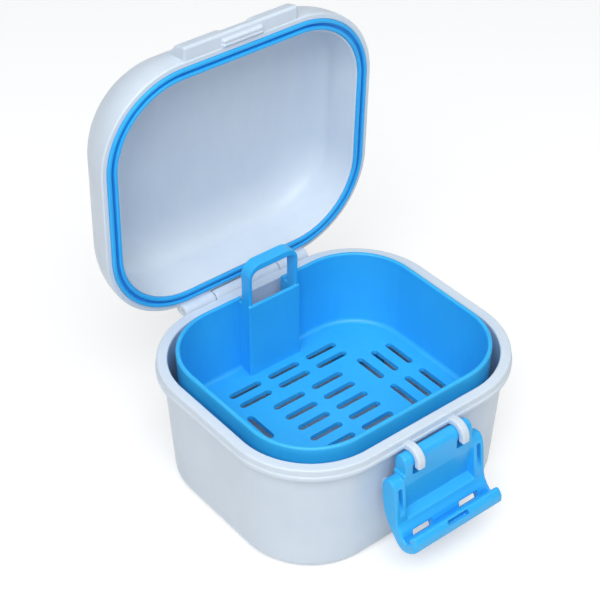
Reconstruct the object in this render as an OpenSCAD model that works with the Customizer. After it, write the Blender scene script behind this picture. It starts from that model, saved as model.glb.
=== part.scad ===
/* [Case outline] */
// Width across the rim of the base
case_w = 97.4; // [92:0.2:106]
// Depth across the rim of the base, hinge to latch
case_d = 84.6; // [80:0.2:94]
// Corner radius of the rim
rim_r = 27.7; // [27.2:0.1:28.4]
// Height of the base from table to rim
base_h = 43; // [41:0.5:50]

/* [Base cup] */
// Height of the thick band round the rim
rim_h = 4.2; // [3.8:0.1:5]
// Step from the band in to the wall below it
rim_step = 2.2; // [2:0.1:2.4]
// Wall thickness
cup_wall = 1.5; // [1.3:0.1:1.6]
// Floor thickness
cup_floor = 2; // [1.6:0.1:2.4]
// How far the wall leans in from band to floor
cup_draft = 2; // [1.6:0.1:2.2]
// Rounding where the wall meets the underside
cup_fillet = 3.2; // [2.6:0.1:4]

/* [Strainer basket] */
// Height of the basket rim above the base rim
basket_rise = 2.8; // [2:0.1:3.2]
// Corner radius outside the basket rim
basket_r = 21.5; // [21.2:0.1:22]
// Basket wall thickness
basket_wall = 1.4; // [1.2:0.1:1.6]
// Depth of the strainer floor below the base rim
basket_depth = 24; // [20:0.5:27]
// Thickness of the strainer floor
basket_floor = 1.6; // [1.4:0.1:2]
// Width of a drain slot
slot_w = 2.4; // [1.8:0.1:2.8]
// Length of a drain slot
slot_l = 12; // [9:0.5:13]

/* [Handle] */
// Width of the handle loop
handle_w = 18.8; // [18:0.2:20]
// Height of the loop above the base rim
handle_rise = 17.7; // [16:0.1:17.8]
// Distance of the front of the handle behind the middle
handle_y = 28.4; // [28:0.1:28.8]
// Depth of the loop
handle_d = 4.2; // [3.4:0.1:4.3]
// Thickness of the strap over the top
strap_t = 2.4; // [2:0.1:2.8]

/* [Lid] */
// Height of the lid above its lip
lid_h = 21.5; // [21.4:0.1:23]
// Gap between the lip of the closed lid and the base rim
lid_gap = 0.7; // [0.6:0.05:1]
// How far the lip stands out past the base rim
lip_out = 0.4; // [0.2:0.1:0.6]
// How far in from the lip the dome becomes flat
dome_in = 19; // [18:0.1:19.2]
// Thickness of the top of the dome
lid_skin = 1.4; // [1.2:0.05:1.6]
// Angle at which the opened lid is shown
lid_open = 88; // [0:1:88]

/* [Seal] */
// Width of the channel for the seal
seal_w = 3.5; // [3.3:0.1:3.6]
// Depth of the channel
seal_h = 3; // [2.6:0.1:3.4]
// Radius of the inner side of the channel at the corners
seal_r = 22.9; // [22.8:0.1:23]
// How far the soft lips stand out of the channel
seal_proud = 0.65; // [0.4:0.01:0.69]

/* [Hinge] */
// Length of the whole hinge
hinge_l = 48; // [44:0.5:50]
// Length of the knuckle on the base
knuckle_l = 24.6; // [22:0.2:26]
// Knuckle radius
knuckle_r = 2.1; // [2:0.05:2.15]
// Diameter of the steel pin
pin_d = 1.6; // [1.4:0.1:1.8]
// Distance of the pin behind the base rim
pin_out = 1.4; // [1.3:0.1:1.6]
// Depth of the pin below the base rim
pin_drop = 0.4; // [0.3:0.05:0.5]

/* [Latch] */
// Distance of the latch barrel in front of the base rim
barrel_out = 2; // [1.9:0.1:2.2]
// Depth of the barrel below the base rim
barrel_drop = 5.8; // [5.6:0.1:6.2]
// Barrel radius
barrel_r = 2.4; // [2.2:0.05:2.5]
// Length of the barrel
barrel_l = 25.6; // [24.6:0.2:26]
// Width of the latch
latch_w = 34.4; // [33.8:0.2:35.6]
// Width of the recessed panel between the cheeks
panel_w = 26.2; // [25.8:0.2:26.6]
// Distance between the middles of the two arms that hold the barrel
arm_gap = 16.9; // [16:0.1:17.4]
// Width of an arm
arm_w = 2.6; // [2.4:0.1:3]

/* [Hidden] */
$fn = 64;

// The corner centres are shared by every wall of the case
core_x = case_w / 2 - rim_r;
core_y = case_d / 2 - rim_r;
rim_z = base_h;
lip_z = rim_z + lid_gap;
// Steps in one rounded edge of a wall section
arc_n = 6;
// Steps along one dome curve
dome_n = 14;
// Overshoot of a cutter past the face that it cuts
past = 1;
// Sink of an added piece into what carries it
sink = 0.6;

// Clearances
pin_fit = 0.05;
pin_grip = 0.01;
barrel_fit = 0.06;
knuckle_gap = 0.3;
scoop_gap = 0.35;
knuckle_clear = 0.25;
seat_gap = 0.05;
seal_side = 0.05;
hang_gap = 0.12;

// Base cup
wall_r = rim_r - rim_step;
cup_in_r = wall_r - cup_wall;
foot_r = wall_r - cup_draft;

// Basket
basket_top = rim_z + basket_rise;
grid_z = rim_z - basket_depth;
basket_draft = 0.6;
basket_fillet = 2.5;
basket_foot_w = 1.5;
basket_foot_arc = 52;
plate_w = handle_w + 0.8;
plate_t = 1.2;
leg_t = 1.2;
plate_rise = 0.3;
handle_top = rim_z + handle_rise;
loop_out_r = 4.5;
loop_in_r = 2.6;
niche_w = handle_w - 2 * leg_t;

// Lid
lip_r = rim_r + lip_out;
flat_r = lip_r - dome_in;
// Wall between the lid's hollow and the channel for the seal
lip_web = 0.5;
cavity_r = seal_r - lip_web;
cavity_wall_h = 11.5;
cavity_lean = 0.2;
ceiling_h = lid_h - lid_skin;

// Seal
seal_out_r = seal_r + seal_w;
groove_w = 1;
groove_depth = 1.7;
seal_round = 0.5;

// Hinge
pin_y = case_d / 2 + pin_out;
pin_z = rim_z - pin_drop;
lug_l = (hinge_l - knuckle_l) / 2 - knuckle_gap;
pin_r = pin_d / 2;
pin_inset = 0.2;
stop_reach = 4.4;
stop_top = 0.95;

// Latch
barrel_y = -(case_d / 2 + barrel_out);
barrel_z = rim_z - barrel_drop;
// Overlap of joined pieces of the latch
lap = 0.1;
arm_t = 2.1;
arm_out_r = barrel_r + arm_t;
// Foot of the arm: how far it sinks into the rim band, its underside and its upper end
root_y = 2.6;
root_low = 1;
root_top = 3.9;
// Back edge of the mouth of the hook
mouth_y = 1.9;
// Straight end of the hook, below the barrel's middle
tip_drop = 1.6;
tip_lap = 0.3;
tip_inset = 0.02;
// Room for the hook in the latch
notch_side = 0.25;
notch_gap = 0.16;
notch_r = sqrt(arm_out_r * arm_out_r + tip_drop * tip_drop) + notch_gap;
cheek_in = panel_w / 2;
// End wall of the trough
trough_end = 1;
pocket_w = 1.45;
pocket_in = 1.3;
vent_l = 7.4;
vent_x = 9;
grip_slot_l = 8;
// Cut that frees the ends of the barrel from the panel
shoulder_drop = 3.2;
shoulder_w = 2;
// Back of the cheeks behind the barrel's middle
cheek_back = 2.5;
// Pads on the cup wall, behind the cheeks
pad_w = 1.5;
pad_h = 4;
pad_drop = 12.6;
pad_sink = 1;
pad_reach = -(core_y + wall_r) - barrel_y - cheek_back + pad_sink;

// Ledge on the lid, over the latch
ledge_w = 40;
ledge_out = 4.2;
ledge_h = 8.6;
crest_in = 5.4;
crest_h = 0.6;
tab_w = 14;

// Points of an arc from angle a0 to a1
function arc(c, r, a0, a1) =
    [for (i = [0:arc_n]) let (a = a0 + (a1 - a0) * i / arc_n) [c.x + r * cos(a), c.y + r * sin(a)]];

// Points of a quarter ellipse, from its side at b0 to its top at b1
function dome(cr, cz, w, h, b0, b1) =
    [for (i = [0:dome_n]) let (b = b0 + (b1 - b0) * i / dome_n) [cr + w * cos(b), cz + h * sin(b)]];

// Sweeps a wall section round the case: x of the section runs out from the corner centres
module wall_loop(section) {
    for (s = [0, 1]) {
        mirror([0, s, 0]) translate([-core_x, core_y, 0]) rotate([90, 0, 90])
            linear_extrude(height = 2 * core_x) polygon(section);
        mirror([s, 0, 0]) translate([core_x, core_y, 0]) rotate([90, 0, 0])
            linear_extrude(height = 2 * core_y) polygon(section);
        for (t = [0, 1])
            mirror([s, 0, 0]) mirror([0, t, 0]) translate([core_x, core_y, 0])
                rotate_extrude(angle = 90) polygon(section);
    }
}

// Flat slab that fills the rectangle between the corner centres
module core_slab(z0, z1) {
    translate([-core_x, -core_y, z0]) cube([2 * core_x, 2 * core_y, z1 - z0]);
}

// Cylinder along the width of the case
module rod_x(r, x0, x1, y, z) {
    translate([x0, y, z]) rotate([0, 90, 0]) cylinder(r = r, h = x1 - x0);
}

// Slab along the width with a side view in y and z
module slab_x(x0, x1, side_view) {
    translate([x0, 0, 0]) rotate([90, 0, 90]) linear_extrude(height = x1 - x0) polygon(side_view);
}

// Both of a pair of pieces, left and right
module both_sides() {
    children();
    mirror([1, 0, 0]) children();
}

// Section of the cup wall, rim band and floor
function cup_section() = concat(
    [[0, 0]],
    arc([foot_r - cup_fillet, cup_fillet], cup_fillet, -90, 0),
    [[wall_r, rim_z - rim_h]],
    arc([rim_r - 0.4, rim_z - rim_h + 0.4], 0.4, -90, 0),
    arc([rim_r - 1, rim_z - 1], 1, 0, 90),
    arc([cup_in_r + 0.6, rim_z - 0.6], 0.6, 90, 180),
    [[cup_in_r, rim_z - rim_h]],
    arc([foot_r - cup_wall - 2, cup_floor + 2], 2, 0, -90),
    [[0, cup_floor]]);

// Arm of the cup that hooks over the latch barrel
module latch_arm() {
    bore_r = barrel_r + barrel_fit;
    beyond = arm_out_r + past;
    difference() {
        union() {
            rod_x(arm_out_r, -arm_w / 2, arm_w / 2, 0, 0);
            slab_x(-arm_w / 2, arm_w / 2, [[-sink, 0], [root_y, 0], [root_y, root_top], [0, arm_out_r]]);
        }
        rod_x(bore_r, -arm_w, arm_w, 0, 0);
        slab_x(-arm_w, arm_w,
            [[-beyond, 0], [-beyond, -beyond], [beyond, -beyond], [beyond, root_low], [mouth_y, root_low], [0, 0]]);
    }
    slab_x(-arm_w / 2, arm_w / 2, [
        [-arm_out_r + tip_inset, tip_lap], [-arm_out_r + tip_inset, -tip_drop],
        [-bore_r, -tip_drop], [-bore_r, tip_lap]]);
}

// Strip that stops the opened lid, behind the middle knuckle
module lid_stop() {
    slab_x(-knuckle_l / 2, knuckle_l / 2, [
        [pin_y - sink, pin_z - 1.6], [pin_y + stop_reach, pin_z + stop_top - 1],
        [pin_y + stop_reach, pin_z + stop_top], [pin_y + 0.4, pin_z + stop_top]]);
}

module base_cup() {
    color([0.87, 0.91, 0.94]) {
        difference() {
            union() {
                wall_loop(cup_section());
                core_slab(0, cup_floor);
                rod_x(knuckle_r, -knuckle_l / 2, knuckle_l / 2, pin_y, pin_z);
                slab_x(-knuckle_l / 2, knuckle_l / 2, [
                    [core_y + wall_r - sink, rim_z - rim_h], [core_y + rim_r + 0.4, rim_z - rim_h],
                    [pin_y + knuckle_r * 0.95, pin_z - 0.6], [core_y + wall_r - sink, pin_z]]);
                lid_stop();
            }
            rod_x(pin_r + pin_grip, -hinge_l, hinge_l, pin_y, pin_z);
            both_sides()
                rod_x(knuckle_r + knuckle_clear, knuckle_l / 2 + 0.05, hinge_l / 2 + 0.3, pin_y, pin_z);
            rod_x(barrel_r + scoop_gap, -barrel_l / 2 - scoop_gap, barrel_l / 2 + scoop_gap, barrel_y, barrel_z);
        }
        both_sides() {
            translate([arm_gap / 2, barrel_y, barrel_z]) latch_arm();
            // Pad behind the cheek, on which the open latch hangs
            translate([cheek_in + lap, barrel_y + cheek_back + hang_gap, barrel_z - pad_drop])
                cube([pad_w, pad_reach, pad_h]);
        }
    }
}

// Section of the basket wall and floor
function basket_section() = let (in_r = basket_r - basket_wall) concat(
    [[0, grid_z - basket_floor]],
    arc([basket_r - basket_draft - basket_fillet, grid_z - basket_floor + basket_fillet], basket_fillet, -90, 0),
    arc([basket_r - 0.6, basket_top - 0.6], 0.6, 0, 90),
    arc([in_r + 0.6, basket_top - 0.6], 0.6, 90, 180),
    arc([in_r - basket_draft - 1.5, grid_z + 1.5], 1.5, 0, -90),
    [[0, grid_z]]);

// Front view of the handle loop, outer edge or inner edge
module loop_view(half_w, top, r) {
    polygon(concat([[half_w, grid_z - 1]], arc([half_w - r, top - r], r, 0, 90),
        arc([r - half_w, top - r], r, 90, 180), [[-half_w, grid_z - 1]]));
}

// One drain slot with round ends, centred
module drain_slot() {
    run = slot_l - slot_w;
    translate([0, 0, grid_z - basket_floor - past]) {
        translate([-run / 2, -slot_w / 2, 0]) cube([run, slot_w, basket_floor + 2 * past]);
        for (s = [-1, 1]) translate([s * run / 2, 0, 0]) cylinder(d = slot_w, h = basket_floor + 2 * past);
    }
}

// All drain slots: woven rows in the middle, pairs along the sides
module drain_slots() {
    for (x = [-1, 1] * 7.6, y = [-12, -6, 0, 6, 12]) translate([x, y, 0]) drain_slot();
    for (x = [-1, 0, 1] * 15.2, y = [-24.4, -19, 19, 24.4]) translate([x, y, 0]) drain_slot();
    for (x = [-1, 1] * 22, y = [-8, 8]) translate([x, y, 0]) rotate([0, 0, 90]) drain_slot();
    for (x = [-1, 1] * 28, y = [-8, 8]) translate([x, y, 0]) rotate([0, 0, 90]) drain_slot();
    for (x = [-1, 1] * 34, y = [-8, 8]) translate([x, y, 0]) rotate([0, 0, 90]) drain_slot();
}

module strainer_basket() {
    back_y = core_y + basket_r;
    leg_z = grid_z - basket_floor / 2;
    color([0.13, 0.6, 0.93]) {
        difference() {
            union() {
                wall_loop(basket_section());
                core_slab(grid_z - basket_floor, grid_z);
            }
            translate([-niche_w / 2, handle_y + plate_t, grid_z]) cube([niche_w, 20, basket_depth + 20]);
            drain_slots();
        }
        // Front plate of the handle well
        translate([-plate_w / 2, handle_y, leg_z])
            cube([plate_w, plate_t, basket_top + plate_rise - leg_z]);
        // Sides of the well, back to the basket wall
        both_sides() translate([niche_w / 2, handle_y + 0.5, leg_z])
            cube([leg_t, back_y - basket_wall / 2 - handle_y - 1.1, basket_top - 0.7 - leg_z]);
        // Handle loop
        difference() {
            translate([0, handle_y + 0.5 + handle_d, 0]) rotate([90, 0, 0])
                linear_extrude(height = handle_d) loop_view(handle_w / 2, handle_top, loop_out_r);
            translate([0, handle_y + 10, 0]) rotate([90, 0, 0])
                linear_extrude(height = 12) loop_view(niche_w / 2, handle_top - strap_t, loop_in_r);
        }
        // Corner feet that hold the strainer floor off the cup floor
        both_sides() for (t = [0, 1])
            mirror([0, t, 0]) translate([core_x, core_y, cup_floor + seat_gap])
                rotate_extrude(angle = basket_foot_arc, start = 45 - basket_foot_arc / 2)
                    translate([basket_r - basket_draft - basket_fillet - 0.2, 0])
                        square([basket_foot_w, grid_z - basket_floor / 2 - cup_floor - seat_gap]);
    }
}

// Section of the closed lid, with its channel for the seal
function lid_section() = concat(
    [[cavity_r, lip_z], [seal_r, lip_z], [seal_r, lip_z + seal_h], [seal_out_r, lip_z + seal_h], [seal_out_r, lip_z]],
    arc([lip_r - 0.5, lip_z + 0.5], 0.5, -90, 0),
    dome(flat_r, lip_z + 0.5, dome_in, lid_h - 0.5, 3, 90),
    [[0, lip_z + lid_h], [0, lip_z + ceiling_h]],
    dome(flat_r, lip_z + cavity_wall_h, cavity_r - cavity_lean - flat_r, ceiling_h - cavity_wall_h, 90, 0));

// Ledge on the front of the lid: a wedge with a dip in the middle of its crest
module lid_ledge() {
    in_y = -(core_y + lip_r - 1.4);
    out_y = -(core_y + lip_r + ledge_out);
    module wedge(drop) {
        polygon([
            [in_y, lip_z + 0.3], [out_y + 0.5, lip_z + 0.3], [out_y, lip_z + 0.8], [out_y + 0.1, lip_z + 1.6],
            [out_y + 0.7 + drop, lip_z + 3.4], [out_y + 1 + drop, lip_z + 4.6], [out_y + 1.5 + drop, lip_z + 5.2],
            [in_y, lip_z + ledge_h]]);
    }
    difference() {
        translate([-ledge_w / 2, 0, 0]) rotate([90, 0, 90]) linear_extrude(height = ledge_w) wedge(0);
        translate([-crest_in, 0, 0]) rotate([90, 0, 90]) linear_extrude(height = 2 * crest_in) difference() {
            translate([out_y - past, lip_z + 1.6]) square([3.4, 4.6]);
            wedge(crest_h);
        }
    }
    // Double ridge under the ledge, for a thumb
    for (y = [0.7, 2])
        slab_x(-tab_w / 2, tab_w / 2, [
            [-(core_y + lip_r) - y + 0.6, lip_z + 0.6], [-(core_y + lip_r) - y + 0.5, lip_z - 0.5],
            [-(core_y + lip_r) - y, lip_z - 0.8], [-(core_y + lip_r) - y - 0.5, lip_z - 0.5],
            [-(core_y + lip_r) - y - 0.6, lip_z + 0.6]]);
}

// Lid in its closed place
module lid_closed() {
    lug_in = knuckle_l / 2 + knuckle_gap;
    difference() {
        union() {
            wall_loop(lid_section());
            core_slab(lip_z + ceiling_h, lip_z + lid_h);
            both_sides() {
                rod_x(knuckle_r, lug_in, lug_in + lug_l, pin_y, pin_z);
                slab_x(lug_in, lug_in + lug_l, [
                    [core_y + seal_out_r + 0.3, lip_z], [pin_y - 1.6, pin_z + 1.3], [pin_y + knuckle_r, pin_z],
                    [pin_y + knuckle_r, lip_z + 1.4], [core_y + lip_r - 0.6, lip_z + 4.4]]);
            }
        }
        rod_x(pin_r + pin_fit, -hinge_l, hinge_l, pin_y, pin_z);
        rod_x(knuckle_r + knuckle_clear, -lug_in, lug_in, pin_y, pin_z);
    }
    lid_ledge();
}

// Turns the closed lid and its seal about the pin to the opened place
module opened() {
    translate([0, pin_y, pin_z]) rotate([-lid_open, 0, 0]) translate([0, -pin_y, -pin_z]) children();
}

module lid_shell() {
    color([0.9, 0.93, 0.95]) opened() lid_closed();
}

// Section of the soft seal, with a groove between its two lips
function seal_section() = let (
    in_r = seal_r + seal_side, out_r = seal_out_r - seal_side, tip = lip_z - seal_proud,
    mid = (seal_r + seal_out_r) / 2) concat(
    [[in_r, lip_z + seal_h - seal_side]],
    arc([in_r + seal_round, tip + seal_round], seal_round, 180, 270),
    arc([mid - groove_w / 2 - 0.3, tip + 0.3], 0.3, 270, 360),
    [[mid - groove_w / 2, tip + groove_depth], [mid + groove_w / 2, tip + groove_depth]],
    arc([mid + groove_w / 2 + 0.3, tip + 0.3], 0.3, 180, 270),
    arc([out_r - seal_round, tip + seal_round], seal_round, 270, 360),
    [[out_r, lip_z + seal_h - seal_side]]);

module lid_seal() {
    color([0.1, 0.56, 0.92]) opened() wall_loop(seal_section());
}

module hinge_pin() {
    color([0.7, 0.71, 0.72]) rod_x(pin_r, -hinge_l / 2 + pin_inset, hinge_l / 2 - pin_inset, pin_y, pin_z);
}

// Side views of the latch, from the middle of its barrel: back of the panel and front of it
panel_view = [
    [2.4, 0], [2.3, -2], [1.6, -5.5], [0.6, -9], [0.2, -16.5], [-0.9, -19], [-3.4, -19],
    [-1.25, -17.6], [-2.5, -7.2], [-2.5, -2], [-2.4, 0]];
// Outer end of a cheek, down to the low end wall of the trough
cheek_view = [
    [2.5, -7.4], [2.1, -5.4], [1.1, -4.5], [0, -4.15], [-1.4, -4.3], [-2.5, -5.4], [-3.1, -7], [-3.4, -8.5],
    [-3.7, -11.2], [-4, -14.2], [-4.4, -17.6], [-4.9, -19.5], [-6.1, -21.3], [-7.3, -22.5], [-8.3, -22.9],
    [-9.6, -22.2], [-11, -21.3], [-12, -21.1], [-12.5, -21.7], [-12.6, -23.4], [-10.5, -25.3], [-8.6, -26.3],
    [-7, -26.5], [-5, -25.5], [-2.4, -22.6], [-0.4, -19.9], [1.2, -16.5], [2, -12.6]];
// Trough and finger lip, from the shelf under the panel
trough_front = [
    [-4.5, -18.4], [-5.1, -19.5], [-6.2, -20.8], [-6.7, -22], [-6.9, -23.2], [-7.4, -24], [-8.2, -24.3],
    [-8.9, -24.1], [-9.2, -23.2], [-9.6, -20.4], [-10, -19.5], [-10.8, -19.1], [-11.4, -19.3],
    [-12.35, -20.5], [-12.6, -21.4], [-12.6, -23.4]];
lip_view = concat([[-1, -17.6], [-1.25, -17.6]], trough_front,
    [[-10.5, -25.2], [-8.7, -25.9], [-7.2, -25.9], [-5.4, -24.8], [-3.2, -22], [-0.4, -18.6]]);
// Inner part of a cheek, whose foot carries on as the trough
cheek_foot_view = concat(
    [[2.5, -7.4], [2.1, -5.4], [1.1, -4.5], [0, -4.15], [-1.4, -4.3], [-2.5, -5.4], [-3.1, -7], [-3.4, -8.5],
     [-3.7, -11.2], [-4, -14.2], [-4.4, -17.6]], trough_front,
    [[-10.5, -25.3], [-8.6, -26.3], [-7, -26.5], [-5, -25.5], [-2.4, -22.6], [-0.4, -19.9], [1.2, -16.5],
     [2, -12.6]]);
pocket_view = [[-9, -6.8], [-1.6, -6.8], [-1.9, -12], [-4.7, -17.2], [-9, -17.2]];
vent_view = [[-7.8, -20], [-1.8, -26], [-1.8, -28.55], [-7.8, -22.55]];
grip_view = [[-11.65, -18.85], [-12.45, -19.8], [-11.5, -22.6], [-10.3, -22]];

module latch_clip() {
    notch = arm_w / 2 + notch_side;
    color([0.14, 0.62, 0.95]) translate([0, barrel_y, barrel_z]) difference() {
        union() {
            rod_x(barrel_r, -barrel_l / 2, barrel_l / 2, 0, 0);
            difference() {
                slab_x(-cheek_in - lap, cheek_in + lap, panel_view);
                both_sides() {
                    rod_x(notch_r, arm_gap / 2 - notch, arm_gap / 2 + notch, 0, 0);
                    translate([barrel_l / 2, -past - notch_r, -shoulder_drop])
                        cube([shoulder_w, 2 * (notch_r + past), 2 * shoulder_drop]);
                }
            }
            slab_x(-cheek_in - lap, cheek_in + lap, lip_view);
            both_sides() {
                slab_x(cheek_in, latch_w / 2 - trough_end + lap, cheek_foot_view);
                slab_x(latch_w / 2 - trough_end, latch_w / 2, cheek_view);
            }
        }
        both_sides() {
            // Vent through the back wall of the trough
            slab_x(vent_x - vent_l / 2, vent_x + vent_l / 2, vent_view);
            // Pocket in the face of the cheek
            slab_x(cheek_in + pocket_in, cheek_in + pocket_in + pocket_w, pocket_view);
        }
        // Blind slot in the finger lip
        slab_x(-grip_slot_l / 2, grip_slot_l / 2, grip_view);
    }
}

base_cup();
strainer_basket();
lid_shell();
lid_seal();
hinge_pin();
latch_clip();
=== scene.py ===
"""Denture soaking case: cup, strainer basket, domed lid with its seal, hinge pin and latch.

Every sub-assembly is a class that holds its sizes in millimetres, builds its meshes in the
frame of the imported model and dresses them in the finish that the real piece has.
"""

from __future__ import annotations

import logging
import math
from collections.abc import Sequence
from dataclasses import dataclass
from enum import Enum
from typing import Any

import bmesh
import bpy
from mathutils import Matrix, Vector

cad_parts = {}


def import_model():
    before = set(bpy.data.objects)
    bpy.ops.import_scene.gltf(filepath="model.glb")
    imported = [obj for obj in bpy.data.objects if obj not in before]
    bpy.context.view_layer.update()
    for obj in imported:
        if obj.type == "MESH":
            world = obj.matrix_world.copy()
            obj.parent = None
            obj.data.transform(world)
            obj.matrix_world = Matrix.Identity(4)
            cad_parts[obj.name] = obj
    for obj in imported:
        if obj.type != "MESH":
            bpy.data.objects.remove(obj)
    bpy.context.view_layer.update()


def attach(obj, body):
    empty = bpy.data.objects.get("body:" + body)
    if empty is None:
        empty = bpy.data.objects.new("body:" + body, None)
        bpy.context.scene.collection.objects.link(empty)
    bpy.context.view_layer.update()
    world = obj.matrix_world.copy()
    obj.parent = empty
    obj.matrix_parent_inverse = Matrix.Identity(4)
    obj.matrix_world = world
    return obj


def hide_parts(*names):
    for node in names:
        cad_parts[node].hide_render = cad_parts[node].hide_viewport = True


LOG = logging.getLogger("denture_case")
MM = 0.001
SMOOTH_LIMIT = math.radians(38)  # edges sharper than this shade as edges
STRAIGHT = math.radians(172)  # corners blunter than this stay as they are
SIDE_SHARE = 0.46  # the most that one rounded corner takes of a side
CORNER_STEPS = 4
END_STEPS = 3
ROUND_STEPS = 56
CLEAR = 20.0  # how far a cutter runs past what it cuts, in millimetres
SMOOTH_PASSES = 3
LEVEL_Z = 0.99999  # the least upward part of a level face's normal

Piece = bpy.types.Object
Tree = bpy.types.NodeTree
Socket = bpy.types.NodeSocket
Point = tuple[float, float]
Outline = list[Point]
View = tuple[Point, ...]


class Axis(Enum):
    """The direction in which a bar runs through its outline, as its number in a point."""

    X = 0
    Y = 1
    Z = 2

    def point(self, p: Point, at: float) -> tuple[float, ...]:
        """The place of an outline's point at a distance along this axis."""
        return (*p[:self.value], at, *p[self.value:])


class Body(Enum):
    """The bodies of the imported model."""

    CUP = "cup"
    BASKET = "basket"
    LID = "lid"
    LATCH = "latch"


# ---------------------------------------------------------------- outlines


def ellipse(
    centre: Point, wide: float, high: float, start: float, end: float, steps: int
) -> Outline:
    """Points of an elliptical arc.

    Args:
        centre: Middle of the ellipse.
        wide: Half its width.
        high: Half its height.
        start: Angle of the first point, in degrees.
        end: Angle of the last point, in degrees.
        steps: Number of chords.

    Returns:
        The points, first and last included.
    """
    angles = [math.radians(start + (end - start) * i / steps) for i in range(steps + 1)]
    return [(centre[0] + wide * math.cos(a), centre[1] + high * math.sin(a)) for a in angles]


def arc(centre: Point, radius: float, start: float, end: float, steps: int) -> Outline:
    """Points of a circular arc between two angles in degrees, as ellipse() gives them."""
    return ellipse(centre, radius, radius, start, end, steps)


def rounding(at: Point, radius: float, start: float, end: float, steps: int) -> Outline:
    """Rounds a right-angled corner of an outline.

    Args:
        at: The sharp corner.
        radius: Radius of the rounding.
        start: Where it begins as seen from its centre, in degrees.
        end: Where it ends, a quarter turn further.
        steps: Number of chords.

    Returns:
        The points, first and last included.
    """
    turns = (math.radians(start), math.radians(end))
    across, up = (round(sum(map(part, turns))) for part in (math.cos, math.sin))
    return arc((at[0] - radius * across, at[1] - radius * up), radius, start, end, steps)


def rectangle(left: float, low: float, right: float, high: float) -> Outline:
    """The four corners of an upright rectangle."""
    return [(left, low), (right, low), (right, high), (left, high)]


def both_sides(low: float, high: float) -> tuple[Point, Point]:
    """A span along X on the right, and its mirror image on the left."""
    return (low, high), (-high, -low)


def signed_area(outline: Sequence[Point]) -> float:
    """Area of a closed outline, positive when it runs anticlockwise."""
    following = [*outline[1:], outline[0]]
    return sum(a[0] * b[1] - b[0] * a[1] for a, b in zip(outline, following)) / 2


def softened(outline: Sequence[Point], radius: float) -> Outline:
    """Rounds every corner of a closed outline, as a moulding tool does.

    Args:
        outline: Corner points in order.
        radius: Largest corner radius; short sides get a smaller one.

    Returns:
        The rounded outline, anticlockwise.
    """
    points = [Vector(p) for p in outline]
    if signed_area(outline) < 0:
        points.reverse()
    rounded: Outline = []
    for i, corner in enumerate(points):
        before, after = points[i - 1], points[(i + 1) % len(points)]
        into, out = (before - corner), (after - corner)
        turn = into.angle(out, math.pi)
        if turn > STRAIGHT:
            rounded.append((corner.x, corner.y))
            continue
        reach = min(radius / math.tan(turn / 2), SIDE_SHARE * into.length, SIDE_SHARE * out.length)
        start, end = corner + into.normalized() * reach, corner + out.normalized() * reach
        for k in range(CORNER_STEPS + 1):
            t = k / CORNER_STEPS
            p = start * (1 - t) ** 2 + corner * 2 * t * (1 - t) + end * t**2
            rounded.append((p.x, p.y))
    return rounded


def inset(outline: Sequence[Point], distance: float) -> Outline:
    """Moves an anticlockwise outline inwards by a small distance, corner by corner.

    Args:
        outline: Corner points in order.
        distance: How far each corner moves in.

    Returns:
        The smaller outline.
    """
    points = [Vector(p) for p in outline]
    moved: Outline = []
    for i, p in enumerate(points):
        along = (p - points[i - 1]).normalized() + (points[(i + 1) % len(points)] - p).normalized()
        along.normalize()
        moved.append((p.x - along.y * distance, p.y + along.x * distance))
    return moved


# ---------------------------------------------------------------- meshes


def linked(name: str, data: bpy.types.ID) -> Piece:
    """Puts new data into the scene as an object.

    Args:
        name: Name of the object.
        data: Its mesh, lamp or camera.

    Returns:
        The object.
    """
    piece = bpy.data.objects.new(name, data)
    bpy.context.scene.collection.objects.link(piece)
    return piece


def new_piece(
    name: str, points: Sequence[Sequence[float]], faces: Sequence[Sequence[int]]
) -> Piece:
    """Makes a mesh object with its doubles merged and its faces turned outwards.

    Args:
        name: Name of the piece.
        points: Corner places, in millimetres.
        faces: Corner numbers of each face.

    Returns:
        The linked object.
    """
    mesh = bpy.data.meshes.new(name)
    mesh.from_pydata([tuple(p) for p in points], [], [list(f) for f in faces])
    work = bmesh.new()
    work.from_mesh(mesh)
    bmesh.ops.remove_doubles(work, verts=work.verts, dist=1e-4)
    bmesh.ops.dissolve_degenerate(work, edges=work.edges, dist=1e-5)
    bmesh.ops.recalc_face_normals(work, faces=work.faces)
    work.to_mesh(mesh)
    work.free()
    return linked(name, mesh)


def wire(name: str, points: Sequence[Sequence[float]], closed: bool = False) -> bpy.types.Mesh:
    """A line of edges through points, which a node tree sweeps or sweeps along.

    Args:
        name: Name of the mesh.
        points: Places along it, in millimetres.
        closed: Whether it runs on from the last point to the first.

    Returns:
        The mesh.
    """
    count = len(points)
    mesh = bpy.data.meshes.new(name)
    edges = [(i, (i + 1) % count) for i in range(count if closed else count - 1)]
    mesh.from_pydata([tuple(p) for p in points], edges, [])
    return mesh


def ring_faces(rows: int, count: int) -> list[list[int]]:
    """Faces between closed rows of points, with a lid on the first row and on the last.

    Args:
        rows: Number of rows.
        count: Points in a row.

    Returns:
        Corner numbers of each face.
    """
    faces = [list(range(count)), list(range((rows - 1) * count, rows * count))]
    for low in range(0, (rows - 1) * count, count):
        high = low + count
        faces += [[low + i, low + (i + 1) % count, high + (i + 1) % count, high + i]
                  for i in range(count)]
    return faces


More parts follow.
